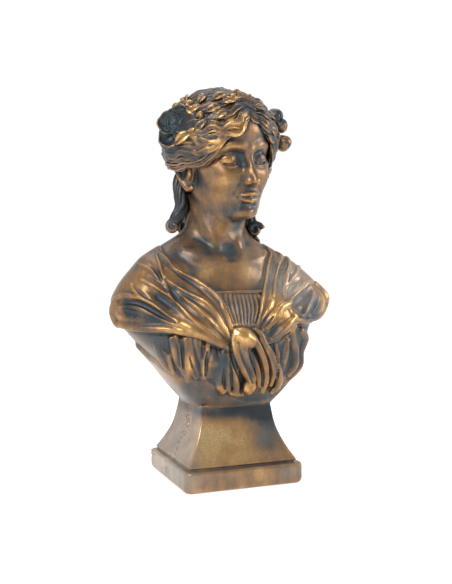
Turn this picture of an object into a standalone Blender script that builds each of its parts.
"""Female bust on a square socle and slab, one hollow casting.

Metres, +Z up, the bust faces -Y, origin at the centre of the slab's underside.
All sizes below are in millimetres and are scaled by MM where meshes are made.
"""
import math

import bmesh
import bpy
import numpy as np
from mathutils import Matrix, Vector

MM = 0.001
NAME = "female_bust"
HEIGHT = 340.0

# slab and socle
SLAB_WIDTH, SLAB_HEIGHT = 105.0, 17.0
SLAB_CORNER, SLAB_FOOT_ROUND = 6.0, 4.0
GROOVE_TOP, GROOVE_HALF = 19.4, 45.6
SOCLE_FOOT_HALF, SOCLE_TOP_HALF, SOCLE_TOP = 47.8, 31.6, 64.0
SOCLE_HOLLOW = 3.2  # depth of the concave sides against a straight taper
JOIN = 2.5  # how far one member runs into the next before they become one solid

# bust sections: height, half-width at -X, half-width at +X, front, back, squareness
TORSO = (
    (64, 32.5, 35.5, 32.5, 32, 4.4),
    (72, 41, 46, 38, 33.5, 3.4),
    (84, 52, 60, 44, 36, 2.8),
    (96, 62, 73, 48, 38, 2.5),
    (108, 73, 73, 50.5, 40, 2.3),
    (120, 84, 80, 51.5, 41, 2.2),
    (132, 95, 84, 50.5, 42, 2.2),
    (144, 100, 96, 47.5, 42, 2.2),
    (156, 100, 101, 41.5, 41, 2.2),
    (168, 93, 90, 33.5, 38, 2.2),
    (180, 83, 76, 24.5, 33, 2.2),
    (190, 73, 64, 16.5, 27, 2.1),
    (198, 60, 48, 12.5, 22, 2.0),
    (206, 42, 30, 9.5, 16, 2.0),
)
SECTION_POINTS = 72

# head: its middle at eye level, turned, bowed and leaned, in degrees
HEAD = (0.0, -4.0, 279.5)
HEAD_SCALE = 0.97
HEAD_TURN, HEAD_BOW, HEAD_LEAN = 14.0, 13.0, -8.0

# how finely the carving is worked before it is reduced
VOXEL = 1.7
FLESH_PASSES, SMOOTH_PASSES = 12, 2
CARVED_TRIANGLES = 8900


# ---------------------------------------------------------------- scene set-up
for old in list(bpy.data.objects):
    bpy.data.objects.remove(old, do_unlink=True)

scene = bpy.context.scene
shown = bpy.data.collections.new("Female bust")
hidden = bpy.data.collections.new("Female bust helpers")
scene.collection.children.link(shown)
scene.collection.children.link(hidden)


def keep(obj, visible=False):
    (shown if visible else hidden).objects.link(obj)
    if not visible:
        obj.hide_render = True
        obj.display_type = "WIRE"
    return obj


# ---------------------------------------------------------------- helpers
def turned(axis, degrees):
    return Matrix.Rotation(math.radians(degrees), 4, axis)


TO_HEAD = (
    Matrix.Translation(Vector(HEAD))
    @ turned("Z", HEAD_TURN)
    @ turned("X", HEAD_BOW)
    @ turned("Y", HEAD_LEAN)
    @ Matrix.Scale(HEAD_SCALE, 4)
)
IN_PLACE = Matrix.Identity(4)

carving = []  # (mesh, matrix in mm) of every form that is worked into the bust


def worked(forms, passes, ratio=1.0):
    """The forms joined into one skin, eased by so many passes and thinned out."""
    mass = bmesh.new()
    for mesh, place in forms:
        mesh.transform(Matrix.Scale(MM, 4) @ place)
        mass.from_mesh(mesh)
        bpy.data.meshes.remove(mesh)
    rough = bpy.data.meshes.new("carving")
    mass.to_mesh(rough)
    mass.free()
    obj = keep(bpy.data.objects.new("carving", rough))
    remesh = obj.modifiers.new("Work as one", "REMESH")
    remesh.mode = "VOXEL"
    remesh.voxel_size = VOXEL * MM
    ease = obj.modifiers.new("Ease", "SMOOTH")
    ease.factor = 0.5
    ease.iterations = passes
    bpy.context.view_layer.update()
    whole = obj.evaluated_get(bpy.context.evaluated_depsgraph_get())
    if ratio != 1.0:
        count = sum(len(p.vertices) - 2 for p in whole.data.polygons)
        obj.modifiers.new("Reduce", "DECIMATE").ratio = ratio / count
        bpy.context.view_layer.update()
        whole = obj.evaluated_get(bpy.context.evaluated_depsgraph_get())
    mesh = bpy.data.meshes.new_from_object(whole)
    bpy.data.objects.remove(obj, do_unlink=True)
    return mesh


def form(centre, radii, place=IN_PLACE, tilt=(0, 0, 0)):
    """A rounded form: a sphere stretched to three radii and tilted."""
    bm = bmesh.new()
    bmesh.ops.create_uvsphere(bm, u_segments=24, v_segments=14, radius=1.0)
    mesh = bpy.data.meshes.new("form")
    bm.to_mesh(mesh)
    bm.free()
    own = (
        Matrix.Translation(Vector(centre))
        @ turned("Z", tilt[2])
        @ turned("Y", tilt[1])
        @ turned("X", tilt[0])
        @ Matrix.Diagonal((radii[0], radii[1], radii[2], 1.0))
    )
    carving.append((mesh, place @ own))


def smooth_run(points, steps=5):
    """Points on a smooth line through the given ones."""
    p = [np.array(q, float) for q in points]
    p = [2 * p[0] - p[1]] + p + [2 * p[-1] - p[-2]]
    out = []
    for i in range(1, len(p) - 2):
        for k in range(steps):
            t = k / steps
            out.append(
                0.5
                * (
                    2 * p[i]
                    + (p[i + 1] - p[i - 1]) * t
                    + (2 * p[i - 1] - 5 * p[i] + 4 * p[i + 1] - p[i + 2]) * t * t
                    + (3 * p[i] - p[i - 1] - 3 * p[i + 1] + p[i + 2]) * t**3
                )
            )
    out.append(p[-2])
    return out


def roll(points, thick, place=IN_PLACE):
    """A rounded fold or lock along a smooth line, its radius given along it."""
    line = smooth_run(points)
    curve = bpy.data.curves.new("roll", "CURVE")
    curve.dimensions = "3D"
    curve.bevel_depth = 1.0
    curve.bevel_resolution = 2 if max(thick) < 12 else 8
    curve.use_fill_caps = True
    spline = curve.splines.new("POLY")
    spline.points.add(len(line) - 1)
    at = np.linspace(0, len(thick) - 1, len(line))
    radius = np.interp(at, range(len(thick)), thick)
    for point, q, r in zip(spline.points, line, radius):
        point.co = (*q, 1.0)
        point.radius = float(r)
    obj = keep(bpy.data.objects.new("roll", curve))
    bpy.context.view_layer.update()
    solid = obj.evaluated_get(bpy.context.evaluated_depsgraph_get())
    mesh = bpy.data.meshes.new_from_object(solid)
    bpy.data.objects.remove(obj, do_unlink=True)
    carving.append((mesh, place))


def mirrored(points):
    return [(-x, y, z) for x, y, z in points]


# ---------------------------------------------------------------- bust body
def section(z):
    rows = np.array(TORSO)
    return [float(np.interp(z, rows[:, 0], rows[:, k])) for k in range(1, 6)]


def skin(angle, z, out=0.0):
    """The point of the bust body at a bearing from the front and a height."""
    left, right, front, back, square = section(z)
    s, c = math.sin(math.radians(angle)), math.cos(math.radians(angle))
    wide = right if s > 0 else left
    deep = front if c > 0 else back
    r = (abs(s / wide) ** square + abs(c / deep) ** square) ** (-1 / square)
    return ((r + out) * s, -(r + out) * c, z)


def body():
    bm = bmesh.new()
    heights = np.linspace(TORSO[0][0] - 4, TORSO[-1][0], 48)
    rings = []
    for z in heights:
        ring = []
        for k in range(SECTION_POINTS):
            x, y, _ = skin(360 * k / SECTION_POINTS, max(z, TORSO[0][0]))
            ring.append(bm.verts.new((x, y, z)))
        rings.append(ring)
    for low, high in zip(rings, rings[1:]):
        for k in range(SECTION_POINTS):
            n = (k + 1) % SECTION_POINTS
            bm.faces.new((low[k], low[n], high[n], high[k]))
    bm.faces.new(rings[0][::-1])
    bm.faces.new(rings[-1])
    bmesh.ops.recalc_face_normals(bm, faces=bm.faces)
    mesh = bpy.data.meshes.new("body")
    bm.to_mesh(mesh)
    bm.free()
    carving.append((mesh, IN_PLACE))


body()


def fold(run, thick, out=0.0):
    """A cloth fold on the body, through (bearing, height) or (x, y, z) points."""
    points = [q if len(q) == 3 else skin(q[0], q[1], out) for q in run]
    roll(points, thick)


# chest under the chemise, then shoulders, the muscle down to them, and the neck
for side in (-1, 1):
    form((side * 31, -24, 138), (25, 24, 24))
    form((side * 60.5, -2, 164), (32.5, 25.5, 21), tilt=(0, side * 32, 0))
    roll([(side * 16 - 3, 6, 226), (side * 24 - 2, 4, 206), (side * 44, 2, 188)], (8, 12, 14))
form((0, -6, 176), (42, 24, 27))
roll([(-1, 5, 176), (-3, 3, 205), (-6, 1, 228), (-3, 4, 256)], (30, 24, 22, 24))

# skull, face and jaw
form((0, 10, 14), (38, 44, 42), TO_HEAD)
form((0, -12, 24), (31, 27.5, 23), TO_HEAD)
form((0, -8, -16), (32, 30, 34), TO_HEAD)
form((0, -16, -34), (23.5, 22, 18), TO_HEAD)
form((0, -33, -46), (9.5, 8, 8), TO_HEAD)
form((0, -29, -30), (15, 10, 11), TO_HEAD)
for side in (-1, 1):
    form((side * 16, -19, -16), (14, 16, 15), TO_HEAD)
    roll([(side * 31, 6, -20), (side * 29, -2, -30), (side * 20.5, -16, -41), (side * 9, -29, -47)], (5, 6, 6), TO_HEAD)
flesh = worked(carving, FLESH_PASSES)
carving = [(flesh, Matrix.Scale(1 / MM, 4))]

# shawl on her right shoulder: rim, then folds that gather to the knot
fold([(-89, 132), (-73, 130), (-53, 130), (-40, 128), (-29, 121), (-16, 114)], (4, 5, 5, 4), 0.5)
fold([(-70, 184), (-59, 176), (-48, 169), (-35, 161), (-21, 148), (-14, 128)], (4, 4, 4, 3.5))
fold([(-82, 189), (-68, 170), (-61, 156), (-46, 140), (-18, 117)], (4, 5, 5, 3.5))
fold([(-77, 168), (-64, 157), (-53, 146), (-24, 128)], (4, 5, 4))
fold([(-85, 157), (-74, 154), (-62, 144), (-50, 135)], (4, 5, 4))
fold([(-61, 170), (-48, 155), (-32, 140), (-20, 126)], (3, 4, 3))
# shawl on her left shoulder
fold([(67, 191), (54, 182), (31, 165), (19, 152), (9, 130)], (4, 4, 4, 3.5))
fold([(76, 195), (58, 183), (42, 164), (30, 150), (14, 130)], (4, 5, 5, 3))
fold([(80, 180), (69, 173), (54, 164), (40, 150), (22, 130)], (4, 5, 5, 3))
fold([(78, 166), (64, 161), (47, 150), (30, 134)], (4, 5, 4))
fold([(68, 138), (59, 137), (44, 131), (26, 120), (12, 118)], (4, 5, 5, 4), 0.5)
# gathered neckline of the chemise and the pleats that fan down to the knot
fold([(-27, 158), (-15, 159), (0, 160), (12, 160), (26, 160)], (2.6, 2.8, 2.6), 0.5)
for top, foot in ((-22, -11), (-12, -8), (-1, -2), (8, 4), (18, 9)):
    fold([(top, 156), ((top + foot) / 2, 146), (foot, 131)], (2.2, 2.6, 2.2))
# chemise pleats under the shawl
PLEATS = (
    ((-66, 122), (-69, 103)), ((-58, 123), (-58, 93)), ((-50, 123), (-51, 90)),
    ((-43, 122), (-42, 90)), ((-33, 118), (-37, 88)), ((37, 118), (42, 88)),
    ((45, 126), (50, 100)), ((56, 130), (58, 104)), ((66, 130), (65, 112)),
)
for top, foot in PLEATS:
    fold([top, ((top[0] + foot[0]) / 2, (top[1] + foot[1]) / 2), foot], (3.2, 3.6, 2.8), -0.6)
# knot, its strands and hanging ends
form((-2, -50, 122), (11, 8, 8))
fold([(-11, 128), (-11, 114), (-3, 98), (8, 86), (9, 78)], (4, 4.5, 4.5, 3.5), 1.5)
fold([(-8, 129), (5, 123), (15, 107), (22, 90), (22, 78)], (4, 4.5, 4.5, 3.5), 1.5)
fold([(10, 130), (20, 115), (32, 98), (40, 84), (37, 76)], (4, 4.5, 4.5, 3.5), 0)
fold([(-19, 112), (-22, 100), (-25, 88), (-23, 78)], (4, 4.5, 4.5, 4), 0)
fold([(-14, 110), (-11, 98), (-8, 86), (-7, 78)], (4, 4.5, 4.5, 3.5), 0)
# shawl across the back, plain broad folds
for drop, rise in ((0, 4.5), (17, 5), (34, 4.5)):
    fold([(104, 176 - drop), (140, 166 - drop), (180, 160 - drop), (220, 166 - drop), (256, 176 - drop)], (3, rise, 3), -0.5)
fold([(95, 138), (130, 128), (180, 122), (230, 128), (265, 138)], (4, 4.5, 4), 0)

# ---------------------------------------------------------------- neck and head
roll([(3, -11, 190), (12, -9, 212), (20, 6, 244)], (5, 5, 5))
roll([(-6, -11, 190), (-20, -9, 212), (-30, 4, 244)], (5, 5.5, 5))

roll([(-24, -29, 6), (-14, -35, 10.5), (0, -36, 8), (14, -35, 10.5), (24, -29, 6)], (3, 4, 4, 4, 3), TO_HEAD)
roll([(0, -37, 4), (0, -43, -7), (0, -48.5, -17)], (3.4, 3.8, 4.6), TO_HEAD)
roll([(-11, -36.5, -31), (0, -41, -30), (11, -36.5, -31)], (1.5, 2.8, 1.5), TO_HEAD)
roll([(-10, -36, -34), (0, -40, -35.2), (10, -36, -34)], (1.5, 3.2, 1.5), TO_HEAD)
for side in (-1, 1):
    form((side * 15.5, -26, -1), (8.6, 7.5, 7.5), TO_HEAD)
    roll([(side * 8, -32, -1), (side * 15.5, -34, -2.5), (side * 23, -29, -1)], (0.8, 1.4, 0.8), TO_HEAD)
    form((side * 5.6, -40.5, -19.5), (3.6, 4.2, 3.8), TO_HEAD)
    form((side * 38, 5, -13), (5, 9.5, 14.5), TO_HEAD)


# ---------------------------------------------------------------- hair
CAP = (0.0, 9.0, 13.5)  # middle of the hair mass in the head
CAP_RADII = (46.5, 48.5, 44.5)
KNOT = (0.0, 56.0, -12.0)
LOCKS = 8
LOCK_THICK = 6.0
WAVE, WAVES = 2.6, 3.2


def on_cap(direction, out=0.0):
    d = Vector(direction).normalized()
    r = 1 / math.sqrt(sum((d[k] / CAP_RADII[k]) ** 2 for k in range(3)))
    return Vector(CAP) + d * (r + out)


def lock(side, share):
    """One wavy lock: from the parting, over the side of the head, to the knot."""
    rise = math.radians(34 + 112 * share)
    start = Vector((side * 0.06, -math.cos(rise), math.sin(rise)))
    mid = Vector((side, -0.42 + 0.8 * share, 0.02 + 0.62 * share))
    end = Vector((side * 0.16, 1.0, -0.62 + 0.5 * share))
    points = []
    for k in range(13):
        t = k / 12
        way = start * (1 - t) ** 2 + mid * 2 * t * (1 - t) * 1.25 + end * t * t
        wave = WAVE * math.sin(2 * math.pi * WAVES * t + 2.2 * share) * math.sin(math.pi * min(1, 3 * t))
        q = on_cap(way, -1.0)
        points.append((q.x, q.y, q.z + wave))
    roll(points, (3, LOCK_THICK, LOCK_THICK, LOCK_THICK, 4), TO_HEAD)


form(CAP, (CAP_RADII[0] - 2, CAP_RADII[1] - 2.5, CAP_RADII[2] - 2), TO_HEAD)
for side in (-1, 1):
    for k in range(LOCKS):
        lock(side, k / (LOCKS - 1))
    # the thick roll of hair over the temple and the ear
    roll([(side * 5, -31, 40), (side * 22, -27, 33), (side * 38, -14, 18), (side * 43, 2, 5), (side * 41, 22, -5), (side * 24, 42, -12)], (5, 7, 8, 8.5, 8, 6), TO_HEAD)
    roll([(side * 12, -31, 36), (side * 26, -25, 25), (side * 37, -10, 10), (side * 37, 10, -6)], (4, 5, 6, 6), TO_HEAD)
form(KNOT, (20, 13, 14), TO_HEAD)
roll([(-14, 58, -20), (-8, 66, -10), (6, 66, -4), (15, 58, -12), (8, 60, -22), (-12, 58, -20)], (6, 6, 6), TO_HEAD)

# ringlets that hang beside the neck and behind it
roll([(-37, 12, 266), (-40, 9, 256), (-40, 7, 246), (-37, 7, 236), (-39, 7, 227), (-43, 7, 219)], (6, 7, 6.5, 6.5, 6))
form((-42.5, 4.5, 217), (8, 5, 8))
roll([(27, 20, 262), (31, 16, 250), (30, 13, 238), (30, 11, 228), (33, 9, 220)], (6.5, 7.5, 7, 7))
form((33, 4.5, 214.5), (8.5, 5, 8.5))
roll([(34, 8, 210), (32, 7, 204), (28, 6, 200)], (4, 3.5, 3))
roll([(-22, 28, 262), (-27, 26, 246), (-26, 24, 228), (-24, 24, 213)], (6, 8, 7.5, 4))
roll([(12, 30, 262), (18, 28, 246), (17, 26, 228), (13, 27, 213)], (6, 8, 7.5, 4))
roll([(-4, 36, 260), (-8, 34, 246), (-4, 33, 234), (-7, 33, 223)], (7, 8.5, 7.5, 4))
form((-29, 14, 242), (8, 9, 16))
form((22, 17, 240), (8, 9, 16))


# ---------------------------------------------------------------- flowers
def flower(centre, facing, radius, petals, cup=35):
    """Cupped petals round a small heart, the heart facing a direction."""
    place = Matrix.Translation(Vector(centre)) @ Vector(facing).to_track_quat("Z", "Y").to_matrix().to_4x4()
    for k in range(petals):
        turn = turned("Z", 360 * k / petals)
        form((radius * 0.62, 0, radius * 0.1), (radius * 0.48, radius * 0.5, radius * 0.16), place @ turn, tilt=(0, -cup, 0))
    form((0, 0, radius * 0.18), (radius * 0.3, radius * 0.3, radius * 0.26), place)


flower((-49, -12, 303), (-0.62, -0.77, 0.14), 18, 5)
for x, y, z, r in ((-14, -20, 329, 6), (0, -16, 333, 6), (47, -7, 318, 7.4), (52.5, -8, 310, 6.6), (55, -9, 294, 7.8), (-44, 2, 318, 6), (20, -14, 332, 5)):
    form((x, y, z), (r, r, r * 0.85))
roll([(-40, -14, 316), (-20, -19, 327), (2, -17, 333), (24, -12, 329), (38, -7, 316), (45, -8, 300)], (4.5, 4.5, 4.5, 4.5, 4.5, 4))

# ---------------------------------------------------------------- one carved mass
whole_mesh = worked(carving, SMOOTH_PASSES, CARVED_TRIANGLES)

# keep the one joined shell, bring its top to the full height, and cut its foot flat
bm = bmesh.new()
bm.from_mesh(whole_mesh)
bm.verts.ensure_lookup_table()
seen, shells = set(), []
for vert in bm.verts:
    if vert.index in seen:
        continue
    stack, shell = [vert], []
    seen.add(vert.index)
    while stack:
        v = stack.pop()
        shell.append(v)
        for edge in v.link_edges:
            w = edge.other_vert(v)
            if w.index not in seen:
                seen.add(w.index)
                stack.append(w)
    shells.append(shell)
shells.sort(key=len)
for shell in shells[:-1]:
    bmesh.ops.delete(bm, geom=shell, context="VERTS")
foot = SOCLE_TOP * MM
top = max(v.co.z for v in bm.verts)
for v in bm.verts:
    v.co.z = foot + (v.co.z - foot) * (HEIGHT * MM - foot) / (top - foot)
cut = bmesh.ops.bisect_plane(
    bm, geom=bm.verts[:] + bm.edges[:] + bm.faces[:], dist=1e-5,
    plane_co=(0, 0, foot), plane_no=(0, 0, -1), clear_outer=True,
)
edges = [e for e in bm.edges if e.is_boundary]
bmesh.ops.dissolve_degenerate(bm, dist=4e-4, edges=edges)
bmesh.ops.contextual_create(bm, geom=[e for e in bm.edges if e.is_boundary])
bmesh.ops.recalc_face_normals(bm, faces=bm.faces)
bust_mesh = bpy.data.meshes.new(NAME)
bm.to_mesh(bust_mesh)
bm.free()
bust = keep(bpy.data.objects.new(NAME, bust_mesh), True)

# ---------------------------------------------------------------- socle and slab
bm = bmesh.new()
bmesh.ops.create_cube(bm, size=1.0)
for v in bm.verts:
    v.co = Vector((v.co.x * SLAB_WIDTH, v.co.y * SLAB_WIDTH, (v.co.z + 0.5) * SLAB_HEIGHT)) * MM
upright = [e for e in bm.edges if abs(e.verts[0].co.z - e.verts[1].co.z) > 1e-6]
bmesh.ops.bevel(bm, geom=upright, offset=SLAB_CORNER * MM, segments=4, profile=0.5, affect="EDGES")
low = [e for e in bm.edges if max(v.co.z for v in e.verts) < 1e-6]
bmesh.ops.bevel(bm, geom=low, offset=SLAB_FOOT_ROUND * MM, segments=3, profile=0.5, affect="EDGES")
slab_mesh = bpy.data.meshes.new("slab")
bm.to_mesh(slab_mesh)
bm.free()
slab = keep(bpy.data.objects.new("slab", slab_mesh))

# the socle's outline from its foot up, turned in four steps into a square member
outline = [(0.0, SLAB_HEIGHT - JOIN), (GROOVE_HALF, SLAB_HEIGHT - JOIN), (GROOVE_HALF, GROOVE_TOP), (SOCLE_FOOT_HALF, GROOVE_TOP)]
for k in range(1, 9):
    t = k / 8
    half = SOCLE_FOOT_HALF + (SOCLE_TOP_HALF - SOCLE_FOOT_HALF) * t - SOCLE_HOLLOW * math.sin(math.pi * t) ** 1.1
    outline.append((half, GROOVE_TOP + (SOCLE_TOP - GROOVE_TOP) * t))
outline += [(SOCLE_TOP_HALF, SOCLE_TOP + JOIN), (0.0, SOCLE_TOP + JOIN)]
bm = bmesh.new()
last = None
for half, z in outline:
    v = bm.verts.new((half * math.sqrt(2) * MM, 0, z * MM))
    if last:
        bm.edges.new((last, v))
    last = v
profile_mesh = bpy.data.meshes.new("socle")
bm.to_mesh(profile_mesh)
bm.free()
socle = keep(bpy.data.objects.new("socle", profile_mesh))
socle.rotation_euler.z = math.radians(45)
screw = socle.modifiers.new("Square", "SCREW")
screw.steps = screw.render_steps = 4
screw.use_merge_vertices = True
screw.merge_threshold = 1e-5
screw.use_normal_calculate = True

for member in (socle, slab):
    join = bust.modifiers.new("Join " + member.name, "BOOLEAN")
    join.operation = "UNION"
    join.solver = "EXACT"
    join.object = member

# ---------------------------------------------------------------- material
metal = bpy.data.materials.new("bronze_patina")
metal.use_nodes = True
shader = metal.node_tree.nodes["Principled BSDF"]
shader.inputs["Base Color"].default_value = (0.36, 0.22, 0.10, 1)
shader.inputs["Metallic"].default_value = 0.75
shader.inputs["Roughness"].default_value = 0.42
metal.diffuse_color = (0.36, 0.22, 0.10, 1)
bust.data.materials.append(metal)
